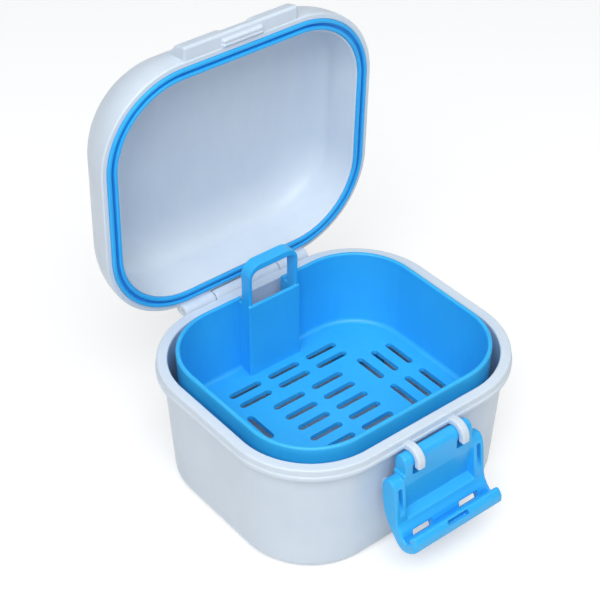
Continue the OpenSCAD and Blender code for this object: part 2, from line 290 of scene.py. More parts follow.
def bar(
    name: str,
    outline: Sequence[Point],
    start: float,
    end: float,
    axis: Axis = Axis.X,
    corner: float = 0.3,
    edge: float = 0.25,
) -> Piece:
    """A solid moulded bar: an outline drawn out along an axis, with rounded corners and ends.

    Args:
        name: Name of the piece.
        outline: Corners of its section; (y, z) along X, (x, z) along Y, (x, y) along Z.
        start: Where it begins along the axis.
        end: Where it ends.
        axis: Direction of the bar.
        corner: Radius of the section's corners.
        edge: Radius round both end faces.

    Returns:
        The solid.
    """
    section = softened(outline, corner) if corner > 0 else list(outline)
    if signed_area(section) < 0:
        section.reverse()
    turns = [math.radians(90 * k / END_STEPS) for k in range(END_STEPS + 1)]
    ends = [(edge * (1 - math.cos(turn)), edge * (1 - math.sin(turn))) for turn in turns]
    levels = [(start + at, drawn_in) for at, drawn_in in (ends if edge > 0 else ends[:1])]
    levels += [(start + end - at, drawn_in) for at, drawn_in in reversed(levels)]
    points = [axis.point(p, at) for at, drawn_in in levels for p in inset(section, drawn_in)]
    return new_piece(name, points, ring_faces(len(levels), len(section)))


def cutter(
    name: str, outline: Sequence[Point], start: float, end: float, axis: Axis = Axis.X
) -> Piece:
    """A bar with sharp edges to cut with, as bar() makes it."""
    return bar(name, outline, start, end, axis, corner=0, edge=0)


def rod(
    name: str, y: float, z: float, radius: float, start: float, end: float, edge: float = 0.0
) -> Piece:
    """A round bar along X.

    Args:
        name: Name of the piece.
        y: Place of its middle.
        z: Height of its middle.
        radius: Its radius.
        start: Its left end.
        end: Its right end.
        edge: Radius round both end faces.

    Returns:
        The solid.
    """
    circle = arc((y, z), radius, 0, 360, ROUND_STEPS)[:-1]
    return bar(name, circle, start, end, Axis.X, corner=0, edge=edge)


def settled(piece: Piece) -> Piece:
    """Turns a piece and its modifiers into a plain mesh.

    Args:
        piece: The piece to settle.

    Returns:
        The same piece.
    """
    bpy.context.view_layer.update()
    graph = bpy.context.evaluated_depsgraph_get()
    mesh = bpy.data.meshes.new_from_object(piece.evaluated_get(graph))
    old = piece.data
    piece.modifiers.clear()
    piece.data = mesh
    mesh.name = piece.name
    if old.users == 0:
        bpy.data.meshes.remove(old)
    return piece


def with_modifier(piece: Piece, kind: str, **settings: Any) -> Piece:
    """Adds one modifier, makes its result the mesh and removes it again.

    Args:
        piece: The piece to change.
        kind: Blender's modifier type.
        **settings: Its properties.

    Returns:
        The same piece.
    """
    modifier = piece.modifiers.new(kind.title(), kind)
    for key, value in settings.items():
        setattr(modifier, key, value)
    return settled(piece)


def edges_rounded(piece: Piece, width: float, segments: int, limit: float) -> Piece:
    """Rounds every edge of a piece that is sharper than a limit.

    Args:
        piece: The piece to change.
        width: Width of the rounding, in millimetres.
        segments: Chords across it.
        limit: The limit, in degrees.

    Returns:
        The same piece.
    """
    return with_modifier(piece, "BEVEL", width=width, segments=segments, limit_method="ANGLE",
                         angle_limit=math.radians(limit))


def remove(piece: Piece) -> None:
    """Deletes a helper piece and its mesh.

    Args:
        piece: The helper.
    """
    mesh = piece.data
    bpy.data.objects.remove(piece)
    if mesh.users == 0:
        bpy.data.meshes.remove(mesh)


def combined(piece: Piece, other: Piece, how: str) -> Piece:
    """Cuts or crosses a piece with another one, which is used up.

    Args:
        piece: The piece to change.
        other: The tool.
        how: DIFFERENCE or INTERSECT.

    Returns:
        The changed piece.
    """
    with_modifier(piece, "BOOLEAN", operation=how, object=other, solver="EXACT")
    remove(other)
    return piece


def cut(piece: Piece, *tools: Piece) -> Piece:
    """Cuts every tool out of a piece.

    Args:
        piece: The piece to change.
        *tools: What is cut out of it, which is used up.

    Returns:
        The same piece.
    """
    for tool in tools:
        combined(piece, tool, "DIFFERENCE")
    return piece


def level_out(piece: Piece) -> None:
    """Merges the splinters that a cut leaves on level faces, so that they shade as one.

    Args:
        piece: The piece that was cut.
    """
    work = bmesh.new()
    work.from_mesh(piece.data)
    # Both lists keep the mesh's own order, so that every run merges them alike.
    corners, edges = (
        [item for item in items if any(abs(face.normal.z) > LEVEL_Z for face in item.link_faces)]
        for items in (work.verts, work.edges))
    bmesh.ops.dissolve_limit(work, angle_limit=math.radians(0.4), verts=corners, edges=edges)
    work.to_mesh(piece.data)
    work.free()


def grown_together(name: str, parts: Sequence[Piece], cell: float) -> Piece:
    """Melts overlapping solids into one moulding with soft inner and outer corners.

    Args:
        name: Name of the result.
        parts: The solids, which are used up.
        cell: Grid size, in millimetres, which also sets how soft the corners are.

    Returns:
        The moulding.
    """
    work = bmesh.new()
    for part in parts:
        work.from_mesh(part.data)
        remove(part)
    mesh = bpy.data.meshes.new(name)
    work.to_mesh(mesh)
    work.free()
    piece = linked(name, mesh)
    with_modifier(piece, "REMESH", mode="VOXEL", voxel_size=cell, use_smooth_shade=True)
    return with_modifier(piece, "SMOOTH", factor=0.5, iterations=SMOOTH_PASSES)


# ---------------------------------------------------------------- shared sizes


@dataclass(frozen=True)
class CasePlan:
    """The rounded rectangle round which every wall of the case runs, in millimetres."""

    core_x: float = 21.0
    core_y: float = 14.6
    rim_z: float = 43.0
    rim_r: float = 27.7
    corner_steps: int = 26
    side_shares: tuple[float, ...] = (0.02, 0.25, 0.5, 0.75, 0.98)

    def ring(self) -> list[tuple[float, float, float, float]]:
        """Stations round the case: the place on the core and the outward direction.

        Returns:
            The stations, anticlockwise from the right.
        """
        stations: list[tuple[float, float, float, float]] = []
        corners = [(1, 1, 0), (-1, 1, 90), (-1, -1, 180), (1, -1, 270)]
        for index, (sx, sy, start) in enumerate(corners):
            for k in range(self.corner_steps + 1):
                turn = math.radians(start + 90 * k / self.corner_steps)
                outward = math.cos(turn), math.sin(turn)
                stations.append((sx * self.core_x, sy * self.core_y, *outward))
            ex, ey, _ = corners[(index + 1) % 4]
            stations += [(self.core_x * (sx + (ex - sx) * share),
                          self.core_y * (sy + (ey - sy) * share), *stations[-1][2:])
                         for share in self.side_shares]
        return stations

    def wall(self, name: str, section: Sequence[Point]) -> Piece:
        """Runs a section round the case and closes it over the core.

        Args:
            name: Name of the piece.
            section: (distance from the core, height) points, which start and end on the core.

        Returns:
            The solid.
        """
        stations = self.ring()
        points = [(cx + nx * r, cy + ny * r, z) for r, z in section for cx, cy, nx, ny in stations]
        return new_piece(name, points, ring_faces(len(section), len(stations)))


@dataclass(frozen=True)
class HingeLine:
    """The pin's axis and the knuckles that turn on it, in millimetres."""

    y: float = 43.7
    z: float = 42.6
    length: float = 48.0
    middle_l: float = 24.6
    knuckle_r: float = 2.1
    clearance: float = 0.25
    end_gap: float = 0.3
    end_round: float = 0.3
    cell: float = 0.2

    def round_bar(
        self, name: str, radius: float, start: float, end: float, edge: float = 0.0
    ) -> Piece:
        """A round bar on the pin's axis, as rod() makes it."""
        return rod(name, self.y, self.z, radius, start, end, edge)


@dataclass(frozen=True)
class LatchLine:
    """The latch barrel's axis and the two arms that hold it, in millimetres."""

    y: float = -44.3
    z: float = 37.2
    radius: float = 2.4
    length: float = 25.6
    arm_gap: float = 16.9
    arm_w: float = 2.6

    def place(self) -> Matrix:
        """The move from the barrel's middle to its place on the case."""
        return Matrix.Translation((0, self.y, self.z))


# ---------------------------------------------------------------- node building


def linear(code: str) -> tuple[float, float, float, float]:
    """Turns an sRGB hex colour into Blender's linear values.

    Args:
        code: Six hex digits after a hash.

    Returns:
        Red, green, blue and alpha.
    """
    parts = [int(code[i:i + 2], 16) / 255 for i in (1, 3, 5)]
    red, green, blue = (c / 12.92 if c <= 0.04045 else ((c + 0.055) / 1.055) ** 2.4 for c in parts)
    return red, green, blue, 1.0


def add_node(
    tree: Tree, kind: str, inputs: dict[str | int, Any] | None = None, **settings: Any
) -> bpy.types.Node:
    """Adds a node with its settings, and links or sets its inputs.

    Args:
        tree: The tree it goes into.
        kind: Blender's node type.
        inputs: Value, or output socket to link, for each input by name or number.
        **settings: Properties of the node.

    Returns:
        The node.
    """
    node = tree.nodes.new(kind)
    for key, value in settings.items():
        setattr(node, key, value)
    for key, value in (inputs or {}).items():
        if isinstance(value, Socket):
            tree.links.new(value, node.inputs[key])
        else:
            node.inputs[key].default_value = value
    return node


def maths(tree: Tree, operation: str, *values: Any) -> Socket:
    """The result of a Math node on its values."""
    return add_node(tree, "ShaderNodeMath", dict(enumerate(values)), operation=operation).outputs[0]


def object_place(tree: Tree) -> Socket:
    """The place on the object, which stays the same when its body moves."""
    return add_node(tree, "ShaderNodeTexCoord").outputs["Object"]


def noise(
    tree: Tree, place: Socket, size_mm: float, detail: float, rough: float = 0.5, bent: float = 0.0
) -> Socket:
    """Noise of a real size.

    Args:
        tree: The material's tree.
        place: Where it is read.
        size_mm: Size of its largest grains.
        detail: How many finer layers it has.
        rough: Weight of the finer layers.
        bent: How far it is distorted.

    Returns:
        Its value.
    """
    return add_node(tree, "ShaderNodeTexNoise", {
        "Vector": place, "Scale": 1 / (size_mm * MM), "Detail": detail, "Roughness": rough,
        "Distortion": bent}).outputs["Fac"]


def spread(
    tree: Tree, value: Socket, low: float, high: float, start: float = 0.0, end: float = 1.0
) -> Socket:
    """Maps the values from start to end onto low to high.

    Args:
        tree: The tree it goes into.
        value: The value.
        low: Result at the start.
        high: Result at the end.
        start: Value that gives low.
        end: Value that gives high.

    Returns:
        The mapped value.
    """
    return add_node(tree, "ShaderNodeMapRange", {
        "Value": value, "From Min": start, "From Max": end, "To Min": low, "To Max": high,
    }).outputs["Result"]


def mixed(tree: Tree, amount: Socket, first: Any, second: Any) -> Socket:
    """Mixes two colours."""
    return add_node(tree, "ShaderNodeMix", {
        "Factor": amount, 6: first, 7: second}, data_type="RGBA").outputs[2]


def bumped(tree: Tree, height: Socket, strength: float, height_mm: float) -> Socket:
    """The normal of a skin with a fine relief."""
    return add_node(tree, "ShaderNodeBump", {
        "Height": height, "Strength": strength, "Distance": height_mm * MM}).outputs["Normal"]


# ---------------------------------------------------------------- finishes


@dataclass(frozen=True)
class Finish:
    """A named material with a main colour, whose skin each kind of finish draws up."""

    name: str
    tone: str

    def skin(self, tree: Tree) -> dict[str, Any]:
        """The inputs of the Principled surface, with the nodes that feed them."""
        raise NotImplementedError

    def make(self) -> bpy.types.Material:
        """Builds the node material.

        Returns:
            The material.
        """
        material = bpy.data.materials.new(self.name)
        material.use_nodes = True
        tree = material.node_tree
        tree.nodes.clear()
        surface = add_node(tree, "ShaderNodeBsdfPrincipled", self.skin(tree))
        add_node(tree, "ShaderNodeOutputMaterial", {"Surface": surface.outputs["BSDF"]})
        return material


@dataclass(frozen=True)
class MouldedPolypropylene(Finish):
    """Injection-moulded polypropylene: a satin, waxy skin over a faintly translucent body."""

    deep_tone: str
    # Painted highlight: the paler colour that rounded edges are mixed towards.
    edge_highlight_tone: str
    roughness: float
    roughness_spread: float = 0.08
    smudge_mm: float = 7.0
    grain_mm: float = 0.55
    grain_height_mm: float = 0.012
    cloud_mm: float = 26.0
    cloud_share: float = 0.72
    flow_mm: float = 3.2
    flow_share: float = 0.28
    flow_stretch: float = 0.22
    # Width and strength of the painted edge highlight.
    edge_mm: float = 0.35
    edge_highlight_share: float = 0.35
    ior: float = 1.49
    translucency: float = 0.05
    light_depth_mm: float = 1.2

    def skin(self, tree: Tree) -> dict[str, Any]:
        """Clouded colour with a painted highlight on its edges, a smudged gloss and the tool's
        grain.

        Args:
            tree: The material's tree.

        Returns:
            The inputs of the Principled surface.
        """
        place = object_place(tree)
        # Long soft streaks show where the melt flowed while the tool filled.
        stretched = add_node(tree, "ShaderNodeMapping", {
            "Vector": place, "Scale": (1.0, 1.0, self.flow_stretch)}).outputs["Vector"]
        flow = noise(tree, stretched, self.flow_mm, 3.0, 0.45, 0.6)
        cloud = maths(tree, "MULTIPLY", noise(tree, place, self.cloud_mm, 2.0), self.cloud_share)
        streak = maths(tree, "MULTIPLY_ADD", flow, self.flow_share, cloud)
        body = mixed(tree, spread(tree, streak, 0.0, 1.0, 0.32, 0.68),
                     linear(self.tone), linear(self.deep_tone))
        # Painted highlight: rounded edges get a paler colour, standing in for the light that thin
        # edges let through.
        rounded = add_node(tree, "ShaderNodeBevel", {"Radius": self.edge_mm * MM}, samples=6)
        flat = add_node(tree, "ShaderNodeNewGeometry")
        bend = add_node(tree, "ShaderNodeVectorMath", {
            0: rounded.outputs["Normal"], 1: flat.outputs["Normal"]}, operation="DOT_PRODUCT")
        edge = spread(tree, bend.outputs["Value"], 0.0, self.edge_highlight_share, 0.97, 0.80)
        smudge, half = noise(tree, place, self.smudge_mm, 4.0, 0.6), self.roughness_spread / 2
        # The spark-eroded grain is about three times coarser than the real 0.15 mm, to show.
        grain = noise(tree, place, self.grain_mm, 3.0, 0.65)
        return {
            "Base Color": mixed(tree, edge, body, linear(self.edge_highlight_tone)),
            "Roughness": spread(
                tree, smudge, self.roughness - half, self.roughness + half, 0.3, 0.7),
            "IOR": self.ior,
            "Normal": bumped(tree, grain, 0.6, self.grain_height_mm),
            "Subsurface Weight": self.translucency,
            "Subsurface Radius": (1.0, 1.1, 1.3),
            "Subsurface Scale": self.light_depth_mm * MM,
        }


@dataclass(frozen=True)
class SoftSilicone(Finish):
    """Moulded silicone rubber: a dull, slightly dusty skin with a velvety fall-off."""

    dust_tone: str
    dust_mm: float = 0.8
    dust_most: float = 0.22
    roughness: float = 0.46
    ior: float = 1.41

    def skin(self, tree: Tree) -> dict[str, Any]:
        """An even colour under fine dust.

        Args:
            tree: The material's tree.

        Returns:
            The inputs of the Principled surface.
        """
        dust = noise(tree, object_place(tree), self.dust_mm, 6.0, 0.7)
        amount = spread(tree, dust, 0.0, self.dust_most, 0.5, 0.8)
        return {
            "Base Color": mixed(tree, amount, linear(self.tone), linear(self.dust_tone)),
            "Roughness": spread(tree, dust, self.roughness - 0.05, self.roughness + 0.08),
            "IOR": self.ior,
            "Normal": bumped(tree, dust, 0.4, 0.01),
            "Sheen Weight": 0.12,
            "Sheen Roughness": 0.4,
        }


@dataclass(frozen=True)
class DrawnStainlessSteel(Finish):
    """Drawn stainless wire: bright metal with fine draw lines along its length."""

    line_mm: float = 0.09
    line_stretch: float = 0.02
    roughness: float = 0.24

    def skin(self, tree: Tree) -> dict[str, Any]:
        """Bare metal with its draw lines.

        Args:
            tree: The material's tree.

        Returns:
            The inputs of the Principled surface.
        """
        drawn = add_node(tree, "ShaderNodeMapping", {
            "Vector": object_place(tree), "Scale": (self.line_stretch, 1.0, 1.0)})
        lines = noise(tree, drawn.outputs["Vector"], self.line_mm, 3.0)
        return {
            "Base Color": linear(self.tone),
            "Metallic": 1.0,
            "Roughness": spread(tree, lines, self.roughness - 0.08, self.roughness + 0.12),
            "Normal": bumped(tree, lines, 0.5, 0.004),
        }


@dataclass(frozen=True)
class MattPaperFloor(Finish):
    """Pale, matt studio paper that shows the object's soft shadow."""

    lift: float

    def skin(self, tree: Tree) -> dict[str, Any]:
        """Matt paper, lifted to white for the camera and for reflections.

        Args:
            tree: The material's tree.

        Returns:
            The inputs of the Principled surface.
        """
        path = add_node(tree, "ShaderNodeLightPath").outputs
        seen = maths(tree, "MAXIMUM", path["Is Camera Ray"], path["Is Glossy Ray"])
        return {
            "Base Color": linear(self.tone),
            "Roughness": 0.9,
            "Specular IOR Level": 0.1,
            "Emission Color": (1.0, 1.0, 1.0, 1.0),
            "Emission Strength": maths(tree, "MULTIPLY", seen, self.lift),
        }


@dataclass(frozen=True)
class Finishes:
    """Every finish of the case, made once."""

    white_shell: bpy.types.Material
    blue_basket: bpy.types.Material
    blue_latch: bpy.types.Material
    silicone: bpy.types.Material
    steel: bpy.types.Material

    @classmethod
    def made(cls) -> Finishes:
        """Builds all the materials.

        Returns:
            The finishes.
        """
        return cls(
            # Each moulded finish: main colour, deeper clouded colour, painted edge-highlight
            # colour, roughness.
            white_shell=MouldedPolypropylene(
                "white_moulded_polypropylene", "#DAE4EE", "#D2DDE9", "#EAF1F8", 0.36).make(),
            blue_basket=MouldedPolypropylene(
                "sky_blue_moulded_polypropylene", "#38BAF7", "#2FB1F2", "#5CC8FC", 0.40).make(),
            blue_latch=MouldedPolypropylene(
                "sky_blue_polypropylene_clip", "#36B9F8", "#2FB0F3", "#5EC8FD", 0.35).make(),
            silicone=SoftSilicone("sky_blue_silicone", "#2CB2F7", "#6BC2F0").make(),
            steel=DrawnStainlessSteel("drawn_stainless_steel", "#B9BBBD").make(),
        )


# ---------------------------------------------------------------- finishing


def to_frame(piece: Piece, turn: Matrix | None = None) -> Piece:
    """Brings a finished mesh into place and to metres, and settles its shading.

    Args:
        piece: The piece, modelled in millimetres.
        turn: Optional turn into its place, in millimetres.

    Returns:
        The same piece.
    """
    if turn is not None:
        piece.data.transform(turn)
    piece.data.transform(Matrix.Scale(MM, 4))
    piece.data.shade_smooth()
    piece.data.set_sharp_from_angle(angle=SMOOTH_LIMIT)
    return with_modifier(piece, "WEIGHTED_NORMAL", mode="FACE_AREA", weight=50, keep_sharp=True)


def dress(
    piece: Piece, material: bpy.types.Material, body: Body, slot: str, *nodes: str
) -> Piece:
    """Gives a piece its finish and its place in the model.

    Args:
        piece: The finished piece.
        material: Its finish.
        body: The body it moves with.
        slot: Name of a material slot; not used.
        *nodes: CAD nodes that it stands for.

    Returns:
        The same piece.
    """
    piece.data.materials.clear()
    piece.data.materials.append(material)
    for face in piece.data.polygons:
        face.material_index = 0
    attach(piece, body.value)
    if nodes:
        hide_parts(*nodes)
    LOG.info("%s: %d faces on body %s", piece.name, len(piece.data.polygons), body.value)
    return piece


class NodeTool:
    """A Geometry Nodes tree with named inputs that is run once on a piece."""

    def __init__(self, name: str, sizes: dict[str, float]) -> None:
        """Makes the tree's interface.

        Args:
            name: Name of the tree.
            sizes: Named sizes, in millimetres, that become its inputs.
        """
        self.tree = bpy.data.node_groups.new(name, "GeometryNodeTree")
        self.sizes = sizes
        self.open_socket("Geometry", "Geometry")
        self.open_socket("Finish", "Material")
        for label in sizes:
            self.open_socket(label, "Float")
        self.open_socket("Geometry", "Geometry", "OUTPUT")
        self.source = self.tree.nodes.new("NodeGroupInput").outputs

    def open_socket(self, label: str, kind: str, side: str = "INPUT") -> None:
        """Adds a socket to the tree's interface."""
        self.tree.interface.new_socket(label, in_out=side, socket_type=f"NodeSocket{kind}")

    def helper_geometry(self, label: str) -> Socket:
        """The geometry of a helper object, for which an input is added."""
        self.open_socket(label, "Object")
        return self.node("GeometryNodeObjectInfo", "Geometry", {"Object": self.source[label]})

    def node(
        self, kind: str, output: str | int, inputs: dict[str | int, Any], **settings: Any
    ) -> Socket:
        """Adds a node and gives one of its outputs, by name or number."""
        return add_node(self.tree, kind, inputs, **settings).outputs[output]

    def share_of(self, label: str, share: float) -> Socket:
        """A named size times a number."""
        return maths(self.tree, "MULTIPLY", self.source[label], share)

    def curve(self, edges: Socket) -> Socket:
        """The curve along a line of edges."""
        return self.node("GeometryNodeMeshToCurve", "Curve", {"Mesh": edges})

    def rounded_rectangle(self, wide: str, high: str, radius: Socket, steps: int) -> Socket:
        """A flat rectangle of two named sizes with rounded corners.

        Args:
            wide: Label of its width.
            high: Label of its height.
            radius: Radius of its corners.
            steps: Chords in one corner.

        Returns:
            The closed curve.
        """
        flat = self.node("GeometryNodeCurvePrimitiveQuadrilateral", "Curve", {
            "Width": self.source[wide], "Height": self.source[high]}, mode="RECTANGLE")
        return self.node("GeometryNodeFilletCurve", "Curve", {
            "Curve": flat, "Count": steps, "Radius": radius, "Limit Radius": True}, mode="POLY")

    def swept(self, line: Socket, profile: Socket, caps: bool = True) -> Socket:
        """The mesh of a profile run along a line, with or without end faces."""
        return self.node("GeometryNodeCurveToMesh", "Mesh", {
            "Curve": line, "Profile Curve": profile, "Fill Caps": caps})

    def set_out(self, points: Socket, mesh: Socket, turn: Socket | None = None) -> Socket:
        """One mesh set on every point, turned about Z if a turn is given.

        Args:
            points: The points.
            mesh: What is set on them.
            turn: Angle at each point, in radians.

        Returns:
            The instances.
        """
        inputs: dict[str | int, Any] = {"Points": points, "Instance": mesh}
        if turn is not None:
            inputs["Rotation"] = self.node("ShaderNodeCombineXYZ", 0, {"Z": turn})
        return self.node("GeometryNodeInstanceOnPoints", "Instances", inputs)

    def end(self, geometry: Socket) -> None:
        """Closes the tree with Realize Instances and Set Material.

        Args:
            geometry: The result of the tree.
        """
        real = self.node("GeometryNodeRealizeInstances", "Geometry", {"Geometry": geometry})
        dressed = self.node("GeometryNodeSetMaterial", "Geometry", {
            "Geometry": real, "Material": self.source["Finish"]})
        add_node(self.tree, "NodeGroupOutput", {"Geometry": dressed})

    def apply(self, piece: Piece, material: bpy.types.Material, **helpers: Piece) -> Piece:
        """Runs the tree on a piece and keeps the plain mesh.

        Args:
            piece: The piece that carries the modifier.
            material: The finish of what the tree makes.
            **helpers: Object for each object input of the tree, by its name.

        Returns:
            The same piece.
        """
        modifier = piece.modifiers.new(self.tree.name, "NODES")
        modifier.node_group = self.tree
        values: dict[str, Any] = {**self.sizes, "Finish": material, **helpers}
        for item in self.tree.interface.items_tree:
            if item.in_out == "INPUT" and item.name in values:
                modifier[item.identifier] = values[item.name]
        return settled(piece)


# ---------------------------------------------------------------- cup


@dataclass
class CupAssembly:
    """The cup: thick rim band, drafted wall, middle knuckle and the two hooked latch arms."""

    plan: CasePlan
    hinge: HingeLine
    latch: LatchLine
    finishes: Finishes
    rim_h: float = 4.2
    rim_step: float = 2.2
    rim_round: float = 0.6
    wall: float = 1.5
    bead_h: float = 1.9
    bead_out: float = 0.35
    bead_round: float = 0.45
    band_round: float = 0.8
    root_round: float = 0.35
    floor: float = 2.0
    floor_round: float = 2.0
    draft: float = 2.0
    foot_round: float = 3.2
    foot_ring: float = 2.6
    foot_relief: float = 0.5
    foot_lip: float = 0.3
    foot_edge: float = 0.25
    lug_side: float = 0.05
    stop_reach: float = 4.4
    stop_top: float = 0.95
    stop_t: float = 1.0
    bore_r: float = 0.81
    barrel_fit: float = 0.06
    scoop_gap: float = 0.35
    scoop_round: float = 0.4
    arm_t: float = 2.04
    arm_corner: float = 0.45
    arm_edge: float = 0.3
    tip_drop: float = 1.6
    pad_w: float = 1.5
    pad_h: float = 4.0
    pad_corner: float = 0.35
    pad_edge: float = 0.3
    pad_drop: float = 12.6
    pad_in: float = 13.2
    pad_front: float = -41.68
    pad_back: float = -38.98

    def section(self) -> Outline:
        """Section of the cup from the underside, up the wall, over the rim and to the floor.

        Returns:
            (distance from the core, height) points.
        """
        rim_z, rim_r = self.plan.rim_z, self.plan.rim_r
        wall_r = rim_r - self.rim_step
        inner_r, foot_r = wall_r - self.wall, wall_r - self.draft
        ring_out = foot_r - self.foot_round
        ring_in = ring_out - self.foot_ring
        band = rim_z - self.rim_h
        points: Outline = [(0, self.foot_relief), (ring_in - 2 * self.foot_lip, self.foot_relief)]
        points += rounding((ring_in, self.foot_relief), self.foot_lip, 90, 0, 4)
        points += rounding((ring_in, 0), self.foot_edge, 180, 270, 4)
        points += arc((ring_out, self.foot_round), self.foot_round, -90, -4, 14)
        points += [(wall_r - 0.02, band - 0.5)]
        points += rounding((wall_r, band), self.root_round, 180, 90, 4)
        # The band has a low bead along its foot, and stands a little further in above it.
        bead_top, upper_r = band + self.bead_h, rim_r - self.bead_out
        points += rounding((rim_r, band), self.band_round, -90, 0, 9)
        points += arc((rim_r - self.bead_round, bead_top - self.bead_round),
                      self.bead_round, 0, 62, 6)
        points += [(upper_r + 0.03, bead_top + 0.16), (upper_r, bead_top + self.bead_round)]
        points += rounding((upper_r, rim_z), self.rim_round, 0, 90, 8)
        points += rounding((inner_r, rim_z), self.rim_round, 90, 180, 7)
        points += [(inner_r, band)]
        points += arc((foot_r - self.wall - self.floor_round, self.floor + self.floor_round),
                      self.floor_round, -3, -90, 9)
        return points + [(0, self.floor)]

    def shell(self) -> Piece:
        """The cup's wall, floor and rim band, with room for the latch barrel and the lid's lugs.

        Returns:
            The cup without its knuckle, arms and pads.
        """
        shell = self.plan.wall("cup_shell", self.section())
        reach = self.latch.length / 2 + self.scoop_gap
        cut(shell, rod("scoop", self.latch.y, self.latch.z, self.latch.radius + self.scoop_gap,
                       -reach, reach, self.scoop_round))
        lugs = [self.hinge.round_bar("lug_room", self.hinge.knuckle_r + self.hinge.clearance, *span)
                for span in both_sides(self.hinge.middle_l / 2 + self.lug_side,
                                       self.hinge.length / 2 + self.hinge.end_gap)]
        return cut(shell, *lugs)

    def knuckle(self) -> Piece:
        """The middle hinge knuckle with its web and the strip that stops the open lid.

        Returns:
            The knuckle, bored for the pin.
        """
        pin_y, pin_z, radius = self.hinge.y, self.hinge.z, self.hinge.knuckle_r
        half = self.hinge.middle_l / 2
        rim_y = self.plan.core_y + self.plan.rim_r
        wall_y, band = rim_y - self.rim_step, self.plan.rim_z - self.rim_h
        stop_y, stop_z = pin_y + self.stop_reach, pin_z + self.stop_top
        parts = [
            self.hinge.round_bar("knuckle", radius, -half, half, self.hinge.end_round),
            bar("web", [(wall_y, band), (rim_y + 0.4, band), (pin_y + radius * 0.95, pin_z - 0.6),
                        (wall_y, pin_z)], -half, half),
            bar("stop", [(pin_y - 0.6, pin_z - 1.6), (stop_y, stop_z - self.stop_t),
                         (stop_y, stop_z), (pin_y + 0.4, stop_z)], -half, half),
        ]
        knuckle = grown_together("cup_hinge_knuckle", parts, self.hinge.cell)
        return cut(knuckle, self.hinge.round_bar("bore", self.bore_r, -half - 1, half + 1))

    def arms(self) -> Piece:
        """The two hooked arms, one section run along a hook and set at both places.

        Returns:
            Both arms as one piece.
        """
        middle = self.latch.radius + self.barrel_fit + self.arm_t / 2
        path = [(2.9, middle - 0.75), (2.1, middle - 0.55), *arc((0, 0), middle, 68, 180, 32),
                (-middle, -self.tip_drop / 2), (-middle, -self.tip_drop)]
        arms = linked("cup_latch_arms", wire("hook_rail", [(0, y, z) for y, z in path]))
        tool = NodeTool("hooked_arms", {
            "Arm width": self.latch.arm_w, "Arm thickness": self.arm_t,
            "Corner": self.arm_corner, "Spacing": self.latch.arm_gap})
        section = tool.rounded_rectangle("Arm width", "Arm thickness", tool.source["Corner"], 5)
        hook = tool.swept(tool.curve(tool.source["Geometry"]), section)
        offset = tool.node("ShaderNodeCombineXYZ", 0, {"X": tool.source["Spacing"]})
        start = tool.node("ShaderNodeVectorMath", 0, {0: offset, "Scale": -0.5}, operation="SCALE")
        places = tool.node("GeometryNodeMeshLine", "Mesh", {
            "Count": 2, "Start Location": start, "Offset": offset}, mode="OFFSET")
        tool.end(tool.set_out(places, hook))
        tool.apply(arms, self.finishes.white_shell)
        arms.data.transform(self.latch.place())
        return edges_rounded(arms, self.arm_edge, 3, 50)

    def pads(self) -> list[Piece]:
        """The two small pads on which the hanging latch rests.

        Returns:
            The right pad and the left one.
        """
        low = self.latch.z - self.pad_drop
        outline = rectangle(self.pad_front, low, self.pad_back, low + self.pad_h)
        spans = zip(("right", "left"), both_sides(self.pad_in, self.pad_in + self.pad_w))
        return [bar(f"cup_rest_pad_{side}", outline, *span, corner=self.pad_corner,
                    edge=self.pad_edge) for side, span in spans]

    def build(self) -> None:
        """Builds and dresses the cup."""
        white = self.finishes.white_shell
        dress(to_frame(self.shell()), white, Body.CUP, "cup_white", "base_cup")
        for piece in (self.knuckle(), self.arms(), *self.pads()):
            dress(to_frame(piece), white, Body.CUP, "cup_white")


# ---------------------------------------------------------------- basket


